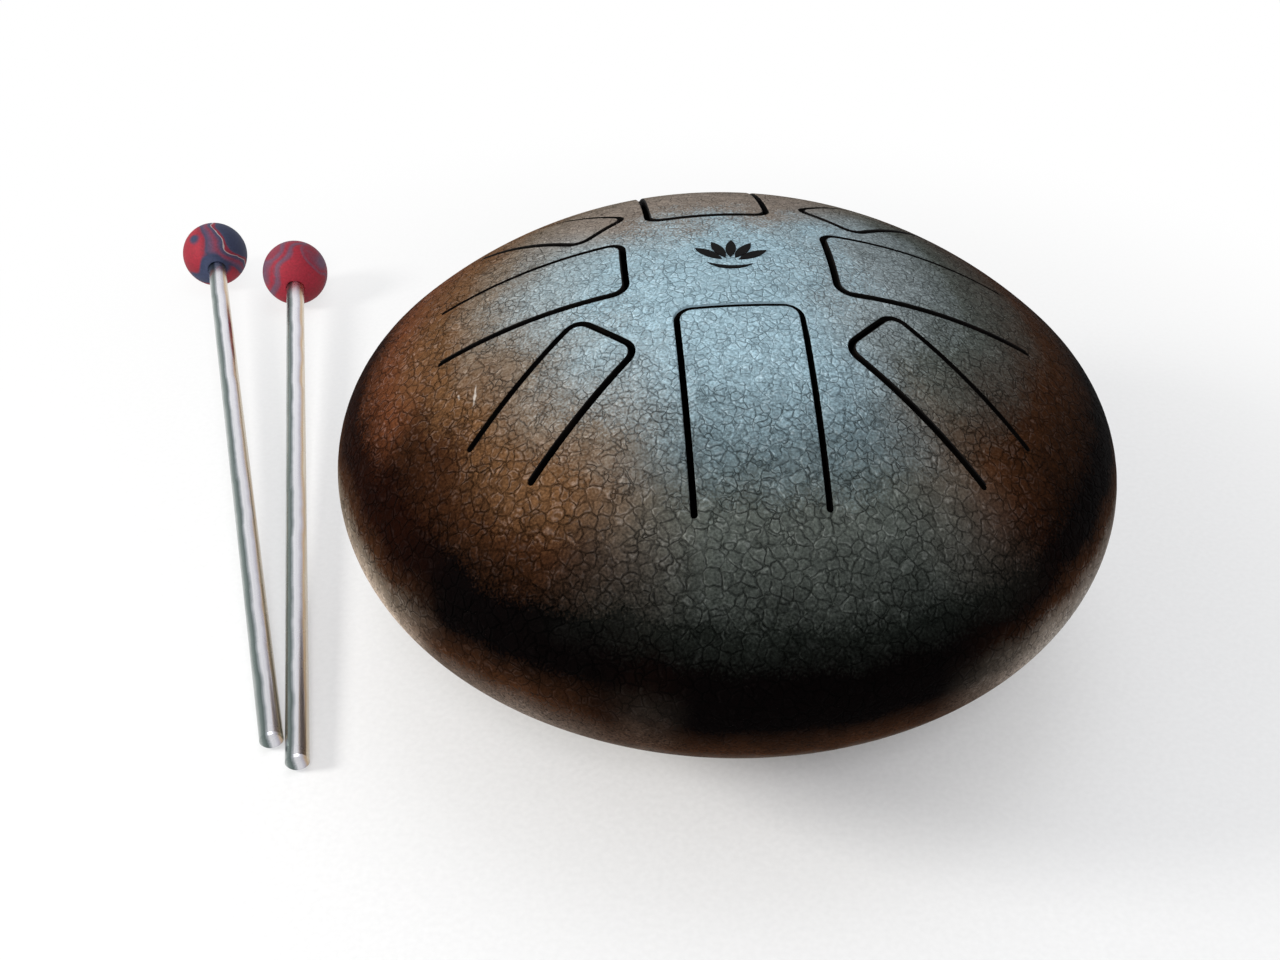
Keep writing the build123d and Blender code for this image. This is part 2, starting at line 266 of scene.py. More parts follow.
def add(tree, kind, settings=None, sockets=None, stops=()):
    """Adds a node. A socket takes a value, a node for its first output, or a node and the name or number
    of its output."""
    node = tree.nodes.new("ShaderNode" + kind)
    for name, value in (settings or {}).items():
        setattr(node, name, value)
    if stops:
        elements = node.color_ramp.elements
        while len(elements) < len(stops):
            elements.new(1)
        for element, (position, colour) in zip(elements, stops):
            element.position = position
            element.color = tint(colour) if isinstance(colour, str) else (colour, colour, colour, 1)
    for name, value in (sockets or {}).items():
        if isinstance(value, bpy.types.Node):
            value = (value, 0)
        if isinstance(value, tuple) and isinstance(value[0], bpy.types.Node):
            tree.links.new(value[0].outputs[value[1]], node.inputs[name])
        else:
            node.inputs[name].default_value = value
    return node


def new_finish(name):
    """An empty finish, its nodes, and the spot of the piece that they colour."""
    material = bpy.data.materials.new(name)
    material.use_nodes = True
    tree = material.node_tree
    tree.nodes.clear()
    return material, tree, (add(tree, "TexCoord"), "Object")


def coated(material, skin):
    """The finish with its surface, where the skin says what each of the shader's sockets takes."""
    tree = material.node_tree
    shader = add(tree, "BsdfPrincipled", sockets=skin)
    add(tree, "OutputMaterial", sockets={"Surface": shader})
    return material


def grained(tree, grain, dull, strength, depth):
    """What a grain gives the skin: its least and most dullness, and a relief that many millimetres deep."""
    gloss = add(tree, "MapRange", sockets={"Value": grain, "To Min": dull[0], "To Max": dull[1]})
    bump = add(tree, "Bump", sockets={"Height": grain, "Strength": strength, "Distance": depth * MM})
    return {"Roughness": gloss, "Normal": bump}


def colour_with_painted_light(tree, axes, height, blur):
    """Tints by height and side: brown all over, then ashen behind, dark on the right, cool in front.
    Their changes with height and side are painted light and shade.
    """
    flat = add(tree, "CombineXYZ", sockets={"X": (axes, "X"), "Y": (axes, "Y")})
    heading = add(tree, "VectorMath", {"operation": "NORMALIZE"}, {0: flat})
    colour = (add(tree, "ValToRGB", sockets={"Fac": height}, stops=BROWN), "Color")
    for bearing, reached, covered, layers in PAINTED_SIDE_LIGHT:
        way = (cos(radians(bearing)), sin(radians(bearing)), 0)
        share = add(tree, "VectorMath", ALONG, {0: heading, 1: way})
        share = add(tree, "Math", PLUS, {0: (share, "Value"), 1: blur})
        share = add(tree, "MapRange", SOFT_STEP, {"Value": share, "From Min": reached, "From Max": covered})
        layer = add(tree, "ValToRGB", sockets={"Fac": height}, stops=layers)
        colour = (add(tree, "Mix", COLOUR_MIX, {"Factor": share, COLOUR_A: colour, COLOUR_B: layer}), MIXED)
    return colour


def crackle_lacquer():
    """Crackle lacquer, sprayed and baked on steel: a matt brown skin of small pebbled flakes parted by fine
    cracks, with painted light in its colour: a blue-grey painted sheen at the pole, painted shade near-black
    towards the rim, and a sandy grey-brown painted reflection of the floor below it."""
    material, tree, spot = new_finish("crackle_lacquer_baked_on_steel")
    drift = add(tree, "TexNoise", sockets={"Vector": spot, "Scale": per(2.6), "Detail": 1.0})
    drift = add(tree, "VectorMath", MINUS, {0: (drift, "Color"), 1: (0.5, 0.5, 0.5)})
    drifted = add(tree, "VectorMath", TIMES_PLUS, {0: drift, 1: (2.2 * MM,) * 3, 2: spot})
    crumb_edge = add(tree, "TexVoronoi", TO_EDGE, {"Vector": drifted, "Scale": per(1.3)})
    grit = add(tree, "TexNoise", sockets={"Vector": spot, "Scale": per(0.6), "Detail": 4.0})
    cloud = add(tree, "TexNoise", sockets={"Vector": spot, "Scale": per(38), "Detail": 4.0})
    patch = add(tree, "TexNoise", sockets={"Vector": spot, "Scale": per(5), "Detail": 3.0})
    highlight_patches = add(tree, "TexNoise", sockets={"Vector": spot, "Scale": per(2.2), "Detail": 1.0})
    mottle = add(tree, "TexNoise", sockets={"Vector": spot, "Scale": per(11), "Detail": 3.0})

    # How high the spot lies, from 0 at the bottom pole to 1 at the top one, blurred and mottled by noise so
    # that the painted bands wander
    axes = add(tree, "SeparateXYZ", sockets={0: spot})
    low = RIM_HEIGHT - SHELL_DEPTH
    high = RIM_HEIGHT + SHELL_DEPTH
    height = add(tree, "MapRange", sockets={"Value": (axes, "Z"), "From Min": low, "From Max": high})
    blur = add(tree, "Math", TIMES_PLUS, {0: cloud, 1: 0.08, 2: -0.04})
    mottle = add(tree, "Math", TIMES_PLUS, {0: mottle, 1: 0.05, 2: -0.025})
    spatter = add(tree, "Math", TIMES_PLUS, {0: grit, 1: 0.08, 2: -0.04})
    for shift in (blur, mottle, spatter):
        height = add(tree, "Math", PLUS, {0: height, 1: shift})

    # The coat is thicker towards the rim: flakes stay whole there, and are broken smaller towards the pole
    edges = []
    cells = []
    for size in (2.1, 2.9):
        flakes = {"Vector": drifted, "Scale": per(size), "Randomness": 0.9}
        edges.append(add(tree, "TexVoronoi", TO_EDGE, flakes))
        cells.append(add(tree, "TexVoronoi", sockets=flakes))
    small, large = ((cell, "Color") for cell in cells)
    middle = add(tree, "SeparateXYZ", sockets={0: (cells[1], "Position")})
    chance = (add(tree, "SeparateColor", sockets={0: large}), "Green")
    limit = add(tree, "MapRange", sockets={"Value": chance, "To Min": 0.78 * high, "To Max": 0.95 * high})
    whole = add(tree, "Math", {"operation": "LESS_THAN"}, {0: (middle, "Z"), 1: limit})
    flake_edge = add(tree, "Mix", sockets={0: whole, VALUE_A: edges[0], VALUE_B: edges[1]})
    flake = add(tree, "Mix", COLOUR_MIX, {0: whole, COLOUR_A: small, COLOUR_B: large})

    # Below the rim the coat is thin: a sandy grain with hardly a crack. Elsewhere cracks differ in depth.
    coat = {"Value": height, "From Min": 0.42, "From Max": 0.56, "To Min": 0.25}
    coat = add(tree, "MapRange", sockets=coat)
    depth = {"Value": patch, "From Min": 0.36, "From Max": 0.60, "To Min": 0.35}
    depth = add(tree, "MapRange", sockets=depth)
    depth = add(tree, "Math", TIMES, {0: depth, 1: coat})
    crack = add(tree, "MapRange", SOFT_STEP, {"Value": flake_edge, "From Min": 0.06, "From Max": 0.0})
    crack = add(tree, "Math", TIMES, {0: crack, 1: depth})
    crumb = {"Value": crumb_edge, "From Min": 0.10, "From Max": 0.0, "To Max": 0.2}
    crumb = add(tree, "MapRange", SOFT_STEP, crumb)
    crack = add(tree, "Math", LARGER, {0: crack, 1: crumb})

    # Each flake took its own depth of colour, with the grit as its grain, and cracks are darker
    tone = add(tree, "SeparateColor", sockets={0: (flake, MIXED)})
    tone = add(tree, "MapRange", sockets={"Value": tone, "To Min": 0.88, "To Max": 1.12})
    sandy = add(tree, "Math", TIMES_PLUS, {0: coat, 1: -3.5, 2: 5.0})
    grain = add(tree, "Math", MINUS, {0: grit, 1: 0.5})
    grain = add(tree, "Math", TIMES_PLUS, {0: grain, 1: sandy, 2: 1.0})
    shade = add(tree, "Math", TIMES_PLUS, {0: crack, 1: -0.5, 2: 1.0})
    for part in (grain, shade):
        tone = add(tree, "Math", TIMES, {0: tone, 1: part})
    colour = colour_with_painted_light(tree, axes, height, blur)
    colour = add(tree, "Mix", COLOUR_GLAZE, {"Factor": 1.0, COLOUR_A: colour, COLOUR_B: tone})

    # Beside each crack a flake's rim is painted lighter, in patches and most lower down the dome: a painted
    # highlight on its raised edge
    rim_highlight = add(tree, "ValToRGB", sockets={"Fac": flake_edge}, stops=((0.05, 0.0), (0.11, 1.0), (0.2, 0.0)))
    highlight_patches = add(tree, "MapRange", sockets={"Value": highlight_patches, "From Min": 0.46, "From Max": 0.62})
    toward_rim = {"Value": height, "From Min": 0.95, "From Max": 0.8, "To Min": 0.35, "To Max": 1.0}
    toward_rim = add(tree, "MapRange", sockets=toward_rim)
    for part in (highlight_patches, toward_rim, coat):
        rim_highlight = add(tree, "Math", TIMES, {0: rim_highlight, 1: part})
    pale = add(tree, "HueSaturation", sockets={"Saturation": 0.7, "Value": 1.9, "Color": (colour, MIXED)})
    colour = add(tree, "Mix", COLOUR_MIX, {"Factor": rim_highlight, COLOUR_A: (colour, MIXED), COLOUR_B: pale})
    for middle, half in SCUFFS:
        middle = Vector(middle) * MM + UP * RIM_HEIGHT
        away = add(tree, "VectorMath", MINUS, {0: drifted, 1: middle})
        away = add(tree, "VectorMath", {"operation": "DIVIDE"}, {0: away, 1: Vector(half) * MM})
        away = (add(tree, "VectorMath", LENGTH, {0: away}), "Value")
        scuff = {"Value": away, "From Min": 1.0, "From Max": 0.3, "To Max": 0.7}
        scuff = add(tree, "MapRange", SOFT_STEP, scuff)
        scuffed = {"Factor": scuff, COLOUR_A: (colour, MIXED), COLOUR_B: tint("#CFC6BC")}
        colour = add(tree, "Mix", COLOUR_MIX, scuffed)

    # Flakes stand out of their cracks, highest beside them, and swell towards the rim
    pebble = ((0.0, 0.0), (0.06, 0.5), (0.14, 1.0), (0.28, 0.9), (0.5, 0.85))
    relief = add(tree, "ValToRGB", sockets={"Fac": flake_edge}, stops=pebble)
    swelling = {"Value": height, "From Min": 0.95, "From Max": 0.82, "To Min": 0.6, "To Max": 1.3}
    swelling = add(tree, "MapRange", sockets=swelling)
    for part in (depth, swelling):
        relief = add(tree, "Math", TIMES, {0: relief, 1: part})
    relief = add(tree, "Math", TIMES_PLUS, {0: grit, 1: 0.35, 2: relief})
    bump = add(tree, "Bump", sockets={"Height": relief, "Strength": 1.0, "Distance": 0.5 * MM})
    gloss = add(tree, "MapRange", sockets={"Value": grit, "To Min": 0.6, "To Max": 0.85})
    skin = {"Base Color": (colour, MIXED), "Roughness": gloss, "Specular IOR Level": 0.01, "Normal": bump}
    return coated(material, skin)


def lacquer_run():
    """The same lacquer where a thin coat of it ran into the front slot at its tip: smooth and uncracked,
    painted a paler blue-grey than the dish so that the shaded wall looks as lit as the top, fading to the
    bare steel along the sides."""
    material, tree, spot = new_finish("lacquer_run_in_slot_painted_lighter")
    cloud = add(tree, "TexNoise", sockets={"Vector": spot, "Scale": per(3), "Detail": 2.0})
    # Paler than the lacquer outside: painted lightening that makes up for the shade in the slot
    pale = add(tree, "ValToRGB", sockets={"Fac": cloud}, stops=((0.3, "#AECBD8"), (0.7, "#BCD6E2")))
    axes = add(tree, "SeparateXYZ", sockets={0: spot})
    tip = {"Value": (axes, "Y"), "From Min": SLOT_PAINT_END_Y, "From Max": SLOT_PAINT_WHOLE_Y}
    tip = add(tree, "MapRange", sockets=tip)
    colour = add(tree, "Mix", COLOUR_MIX, {"Factor": tip, COLOUR_A: tint("#080707"), COLOUR_B: pale})
    gloss = add(tree, "MapRange", sockets={"Value": cloud, "To Min": 0.55, "To Max": 0.75})
    skin = {"Base Color": (colour, MIXED), "Roughness": gloss, "Specular IOR Level": 0.01}
    return coated(material, skin)


def blackened_steel():
    """Mild steel blackened in the oven, left bare inside the drum: near-black, dull, faintly blotched."""
    material, tree, spot = new_finish("mild_steel_oven_blackened")
    blotch = add(tree, "TexNoise", sockets={"Vector": spot, "Scale": per(9), "Detail": 5.0})
    blacks = ((0.3, "#050404"), (0.55, "#0B0908"), (0.75, "#181310"))
    colour = add(tree, "ValToRGB", sockets={"Fac": blotch}, stops=blacks)
    relief = grained(tree, blotch, dull=(0.5, 0.85), strength=0.3, depth=0.1)
    return coated(material, {"Base Color": colour, "Specular IOR Level": 0.05, **relief})


def vinyl_film():
    """Black vinyl film, cast and cut: satin black, a soft orange peel, a little dust."""
    material, tree, spot = new_finish("vinyl_film_cast_satin")
    peel = add(tree, "TexNoise", sockets={"Vector": spot, "Scale": per(0.8), "Detail": 2.0})
    dust = add(tree, "TexNoise", sockets={"Vector": spot, "Scale": per(0.35), "Detail": 3.0})
    blacks = ((0.45, "#050505"), (0.68, "#0B0A0B"), (0.8, "#1C1B1B"))
    colour = add(tree, "ValToRGB", sockets={"Fac": dust}, stops=blacks)
    relief = grained(tree, peel, dull=(0.5, 0.7), strength=0.25, depth=0.05)
    return coated(material, {"Base Color": colour, "Specular IOR Level": 0.04, **relief})


def foot_rubber():
    """Black rubber, moulded: dull charcoal, a fine spark-eroded grain, paler where the sole rubs."""
    material, tree, spot = new_finish("black_rubber_moulded")
    grain = add(tree, "TexNoise", sockets={"Vector": spot, "Scale": per(0.5), "Detail": 3.0})
    smear = add(tree, "TexNoise", sockets={"Vector": spot, "Scale": per(5), "Detail": 4.0})
    axes = add(tree, "SeparateXYZ", sockets={0: spot})
    rub = add(tree, "MapRange", sockets={"Value": (axes, "Z"), "From Min": 2.5 * MM, "From Max": 0.0})
    rub = add(tree, "Math", TIMES, {0: rub, 1: smear})
    charcoals = ((0.0, "#161617"), (0.35, "#252526"), (0.7, "#4A4947"))
    colour = add(tree, "ValToRGB", sockets={"Fac": rub}, stops=charcoals)
    relief = grained(tree, grain, dull=(0.6, 0.85), strength=0.4, depth=0.08)
    return coated(material, {"Base Color": colour, "Specular IOR Level": 0.35, **relief})


def zinc_plate():
    """Steel plated with bright zinc: pale grey metal, faint bluish and straw blushes, fine turning marks."""
    material, tree, spot = new_finish("steel_zinc_plated")
    blush = add(tree, "TexNoise", sockets={"Vector": spot, "Scale": per(3), "Detail": 2.0})
    greys = ((0.3, "#AEB6C0"), (0.5, "#BDBFBF"), (0.7, "#C6BEAA"))
    colour = add(tree, "ValToRGB", sockets={"Fac": blush}, stops=greys)
    mark = add(tree, "TexNoise", sockets={"Vector": spot, "Scale": per(0.3), "Detail": 2.0})
    relief = grained(tree, mark, dull=(0.24, 0.46), strength=0.2, depth=0.02)
    return coated(material, {"Base Color": colour, "Metallic": 1.0, **relief})


def drawn_aluminium():
    """Aluminium bar, drawn and polished, with lengthwise die lines; painted into its colour are a highlight
    along its top and reflections, grey down its left flank and straw down its right one, and it is a little
    darker towards its plain end."""
    material, tree, spot = new_finish("aluminium_drawn_polished")
    # The die lines are finer than this on a real bar; they are drawn at 0.5 mm so that they show.
    stretched = add(tree, "VectorMath", TIMES, {0: spot, 1: (1, 1, 0.012)})
    line = add(tree, "TexNoise", sockets={"Vector": stretched, "Scale": per(0.5), "Detail": 3.0})
    smear = add(tree, "TexNoise", sockets={"Vector": spot, "Scale": per(14), "Detail": 4.0})
    axes = add(tree, "SeparateXYZ", sockets={0: spot})
    flank = {"Value": (axes, "X"), "From Min": -ROD_RADIUS, "From Max": ROD_RADIUS}
    flank = add(tree, "MapRange", sockets={**flank, "To Min": -0.2, "To Max": 0.8})
    flank = add(tree, "Math", TIMES_PLUS, {0: smear, 1: 0.28, 2: flank})
    flank = add(tree, "Math", TIMES_PLUS, {0: line, 1: 0.12, 2: flank})
    # Across the rod: painted reflections, grey on the left flank and straw on the right, and a near-white
    # painted highlight along the top
    greys = (
        (0.04, "#B5BBB9"),
        (0.16, "#7E8A87"),
        (0.30, "#5F6B69"),
        (0.40, "#A9AEB2"),
        (0.48, "#E6E6EA"),
        (0.64, "#E0DFE5"),
        (0.76, "#BDBAC4"),
        (0.88, "#C0A482"),
        (0.97, "#D9CDBB"),
    )
    highlight_and_reflections = add(tree, "ValToRGB", sockets={"Fac": flank}, stops=greys)
    tone = {"Value": (axes, "Z"), "From Max": 0.8 * ROD_LENGTH, "To Min": 0.8}
    tone = add(tree, "MapRange", sockets=tone)
    tone = add(tree, "Math", TIMES_PLUS, {0: line, 1: 0.2, 2: tone})
    tone = add(tree, "Math", MINUS, {0: tone, 1: 0.1})
    colour = add(tree, "Mix", COLOUR_GLAZE, {"Factor": 1.0, COLOUR_A: highlight_and_reflections, COLOUR_B: tone})
    gloss = {"Value": smear, "From Min": 0.3, "From Max": 0.7, "To Min": 0.16, "To Max": 0.34}
    gloss = add(tree, "MapRange", sockets=gloss)
    bump = add(tree, "Bump", sockets={"Height": line, "Strength": 0.25, "Distance": 0.02 * MM})
    skin = {"Base Color": (colour, MIXED), "Metallic": 1.0, "Roughness": gloss, "Normal": bump}
    return coated(material, skin)


def marbled_rubber(name, cut_at, fold_reach, layers_way, layers, patch_way, patch_start, patch):
    """Rubber rolled from several colours and moulded: red folded with navy and mauve-grey, a thin pale vein
    here and there, a matt bloom all over."""
    material, tree, spot = new_finish(name)
    moved = add(tree, "VectorMath", PLUS, {0: spot, 1: cut_at})
    fold = add(tree, "TexNoise", sockets={"Vector": moved, "Scale": per(17), "Detail": 1.0})
    fold = add(tree, "VectorMath", MINUS, {0: (fold, "Color"), 1: (0.5, 0.5, 0.5)})
    folded = add(tree, "VectorMath", TIMES_PLUS, {0: fold, 1: (fold_reach * BALL_RADIUS,) * 3, 2: spot})
    grain = add(tree, "TexNoise", sockets={"Vector": spot, "Scale": per(0.7), "Detail": 3.0})
    streak = add(tree, "TexNoise", sockets={"Vector": folded, "Scale": per(4), "Detail": 3.0})
    colours = []
    for way, stops in ((layers_way, layers), (patch_way, patch)):
        way = Vector(way).normalized() * 0.5 / BALL_RADIUS
        share = add(tree, "VectorMath", ALONG, {0: folded, 1: tuple(way)})
        share = add(tree, "Math", PLUS, {0: (share, "Value"), 1: 0.5})
        smeared = add(tree, "Math", TIMES_PLUS, {0: streak, 1: 0.10, 2: share})
        colours.append(add(tree, "ValToRGB", sockets={"Fac": smeared}, stops=stops))
    edge = {"Value": share, "From Min": patch_start, "From Max": patch_start + 0.06}
    edge = add(tree, "MapRange", SOFT_STEP, edge)
    colour = add(tree, "Mix", COLOUR_MIX, {"Factor": edge, COLOUR_A: colours[0], COLOUR_B: colours[1]})
    bloom = {"Value": grain, "From Min": 0.3, "From Max": 0.7, "To Min": 0.8, "To Max": 1.2}
    bloom = add(tree, "MapRange", sockets=bloom)
    colour = add(tree, "Mix", COLOUR_GLAZE, {"Factor": 1.0, COLOUR_A: (colour, MIXED), COLOUR_B: bloom})
    relief = grained(tree, grain, dull=(0.55, 0.8), strength=0.4, depth=0.06)
    return coated(material, {"Base Color": (colour, MIXED), "Specular IOR Level": 0.25, **relief})


lacquer = crackle_lacquer()
dark_steel = blackened_steel()
run_lacquer = lacquer_run()


# Faces of the pieces


def put_in_scene(name, data):
    made = bpy.data.objects.new(name, data)
    bpy.context.scene.collection.objects.link(made)
    return made


class Skin:
    """The faces of one piece, each with the way its corners face and the number of its finish."""

    def __init__(self):
        self.points = []
        self.faces = []
        self.facings = []
        self.finishes = []

    def point(self, place):
        self.points.append(place)
        return len(self.points) - 1

    def face(self, corners, facings, finish):
        self.faces.append(corners)
        self.facings.extend(facings)
        self.finishes.append(finish)

    def piece(self, name, materials):
        mesh = bpy.data.meshes.new(name)
        mesh.from_pydata(self.points, [], self.faces)
        for material in materials:
            mesh.materials.append(material)
        mesh.polygons.foreach_set("material_index", self.finishes)
        mesh.polygons.foreach_set("use_smooth", [True] * len(self.faces))
        mesh.normals_split_custom_set([tuple(facing) for facing in self.facings])
        return put_in_scene(name, mesh)


def turned_piece(name, runs, count=TURNED_FACES, settle=None):
    """A half section turned about Z. A run is a finish and its (radius, height, lean of the face) points."""
    skin = Skin()
    rings = {}
    materials = list(dict.fromkeys(material for material, section in runs))

    def ring(radius, height):
        key = (round(radius / MM, 4), round(height / MM, 4))
        if key not in rings:
            bearings = [tau * i / count for i in range(count)] if key[0] else [0]
            places = [Vector((radius * cos(b), radius * sin(b), height)) for b in bearings]
            rings[key] = [skin.point(settle(place) if settle else place) for place in places]
        return rings[key]

    for material, section in runs:
        finish = materials.index(material)
        for (r0, z0, lean0), (r1, z1, lean1) in zip(section, section[1:]):
            near = ring(r0, z0)
            far = ring(r1, z1)
            for i in range(count):
                j = (i + 1) % count
                turns = [tau * i / count, tau * (i + 1) / count]
                corners = []
                for points, lean, order in ((near, lean0, (0, 1)), (far, lean1, (1, 0))):
                    for side in order if len(points) > 1 else (0,):
                        bearing = turns[side]
                        way = Vector((sin(lean) * cos(bearing), sin(lean) * sin(bearing), cos(lean)))
                        corners.append((points[(i, j)[side]] if len(points) > 1 else points[0], way))
                a, b, c = (skin.points[corner] for corner, way in corners[:3])
                if (b - a).cross(c - a).dot(corners[0][1] + corners[1][1] + corners[2][1]) < 0:
                    corners.reverse()
                skin.face([corner for corner, way in corners], [way for corner, way in corners], finish)
    return skin.piece(name, materials)


# Steel: a flat map of the dish, and the sheets cut from it


def dish_facing(run, bearing):
    """The way the outside of the top dish faces, that far along it from the pole."""
    lean = run / CROWN_RADIUS if run < CROWN_RUN else CROWN_LEAN + (run - CROWN_RUN) / KNUCKLE_RADIUS
    return Vector((sin(lean) * cos(bearing), sin(lean) * sin(bearing), cos(lean)))


def dish_place(run, bearing, depth=0.0):
    """The point of the wall that lies that deep under the outside of the top dish."""
    facing = dish_facing(run, bearing)
    if run < CROWN_RUN:
        return UP * (RIM_HEIGHT - CROWN_SINK) + facing * (CROWN_RADIUS - depth)
    centre_x = KNUCKLE_CENTRE_RADIUS * cos(bearing)
    centre_y = KNUCKLE_CENTRE_RADIUS * sin(bearing)
    return Vector((centre_x, centre_y, RIM_HEIGHT)) + facing * (KNUCKLE_RADIUS - depth)


def dish_height(radius):
    """Height of the bottom dish's outside above the floor."""
    return RIM_HEIGHT + CROWN_SINK - sqrt(CROWN_RADIUS**2 - radius**2)


def run_to_lean(lean):
    """How far along the outside, from the pole, the knuckle has that lean."""
    return CROWN_RUN + (lean - CROWN_LEAN) * KNUCKLE_RADIUS


def to_map(run, bearing):
    return Vector((run * cos(bearing), run * sin(bearing)))


def from_map(spot):
    return spot.length, atan2(spot.y, spot.x)


def inside(spots, outline):
    """Which spots of the map lie inside a closed outline."""
    x = spots[:, 0, None]
    y = spots[:, 1, None]
    start = outline
    end = np.roll(outline, -1, axis=0)
    crossing = (start[:, 1] > y) != (end[:, 1] > y)
    rise = np.where(start[:, 1] == end[:, 1], 1.0, end[:, 1] - start[:, 1])
    at = start[:, 0] + (y - start[:, 1]) * (end[:, 0] - start[:, 0]) / rise
    return (crossing & (x < at)).sum(1) % 2 == 1


def map_rings(last_run):
    """Spots on rings round the pole, evenly spread over the map."""
    spots = [Vector((0, 0))]
    for ring in range(1, int(last_run / FACE_SIZE) + 1):
        count = round(tau * ring)
        spots += [to_map(ring * FACE_SIZE, tau * (step + 0.5 * (ring % 2)) / count) for step in range(count)]
    return np.array(spots)


# Numbers of a sheet's finishes
PAINTED, BARE, THIN_COAT = 0, 1, 2


class SheetEdge:
    """A closed edge of the steel on the dish's map, carried down through the wall in steps."""

    def __init__(self, steps, steel_inside, painted=EDGE_ROUNDING):
        self.loops = [loop for loop, depth, turn in steps]
        self.depths = [depth for loop, depth, turn in steps]
        self.turns = [turn for loop, depth, turn in steps]
        self.steel_inside = steel_inside
        self.painted = painted  # how deep the paint reaches

    def finish(self, depth):
        if depth > self.painted:
            return BARE
        return THIN_COAT if depth > EDGE_ROUNDING else PAINTED


def way_across(near, far):
    """The way along the crown from one spot of the map to another close by."""
    run, bearing = from_map(near)
    lean = run / CROWN_RADIUS
    down_dish = Vector((cos(lean) * cos(bearing), cos(lean) * sin(bearing), -sin(lean)))
    round_dish = Vector((-sin(bearing), cos(bearing), 0))
    step = far - near
    outwards = near.normalized()
    return (down_dish * step.dot(outwards) + round_dish * outwards.cross(step)).normalized()


def laid_triangles(spots, edges):
    """Triangles between the spots of the map where there is steel. The edges' own spots come first."""
    ties = []
    first = 0
    for edge in edges:
        count = len(edge.loops[0])
        ties += [(first + i, first + (i + 1) % count) for i in range(count)]
        first += count
    # The whole map is laid, and spots within a millionth of a millimetre count as one
    laid = delaunay_2d_cdt([spot / MM for spot in spots], ties, [], 0, 1e-6)
    corners, lines, faces, sources = laid[:4]
    source = [same_spots[0] for same_spots in sources]
    triangles = [[source[i] for i in face] for face in faces]
    middles = np.array([sum((spots[i] for i in triangle), Vector((0, 0))) / 3 for triangle in triangles])
    kept = np.ones(len(triangles), bool)
    for edge in edges:
        kept &= inside(middles, np.array(edge.loops[0])) == edge.steel_inside
    return [triangle for triangle, keep in zip(triangles, kept) if keep]


def edge_wall(skin, edge, outer, inner, facings):
    """The faces of one edge, from the outside of the sheet down to its inside."""
    count = len(outer)
    sideways = [way_across(near, far) for near, far in zip(edge.loops[0], edge.loops[-2])]
    rings = [outer]
    for loop, depth in zip(edge.loops[1:-1], edge.depths[1:-1]):
        rings.append([skin.point(dish_place(*from_map(spot), depth)) for spot in loop])
    rings.append(inner)
    for level in range(len(rings) - 1):
        finish = edge.finish(edge.depths[level + 1])
        for i in range(count):
            j = (i + 1) % count
            corners = [(level, i), (level + 1, i), (level + 1, j), (level, j)]
            if not edge.steel_inside:
                corners.reverse()
            ways = []
            for ring, spot in corners:
                turn = edge.turns[ring]
                ways.append(facings[spot] * cos(turn) + sideways[spot] * sin(turn))
            skin.face([rings[ring][spot] for ring, spot in corners], ways, finish)


def steel_sheet(name, edges, filling):
    """A sheet of the dish's wall: painted outside and over its rounded edges as far as each edge's paint
    reaches, dark within.
    """
    edge_spots = [spot for edge in edges for spot in edge.loops[0]]
    bottom_spots = [spot for edge in edges for spot in edge.loops[-1]]
    filling = [Vector(spot) for spot in filling]
    spots = edge_spots + filling
    skin = Skin()
    facings = [dish_facing(*from_map(spot)) for spot in spots]
    outer = [skin.point(dish_place(*from_map(spot))) for spot in spots]
    inner = [skin.point(dish_place(*from_map(spot), WALL)) for spot in bottom_spots + filling]
    for triangle in laid_triangles(spots, edges):
        a, b, c = (spots[i] for i in triangle)
        if (b - a).cross(c - a) < 0:
            triangle = triangle[::-1]
        skin.face([outer[i] for i in triangle], [facings[i] for i in triangle], PAINTED)
        skin.face([inner[i] for i in triangle[::-1]], [-facings[i] for i in triangle[::-1]], BARE)
    first = 0
    for edge in edges:
        last = first + len(edge.loops[0])
        edge_wall(skin, edge, outer[first:last], inner[first:last], facings[first:last])
        first = last
    return skin.piece(name, (lacquer, dark_steel, run_lacquer))


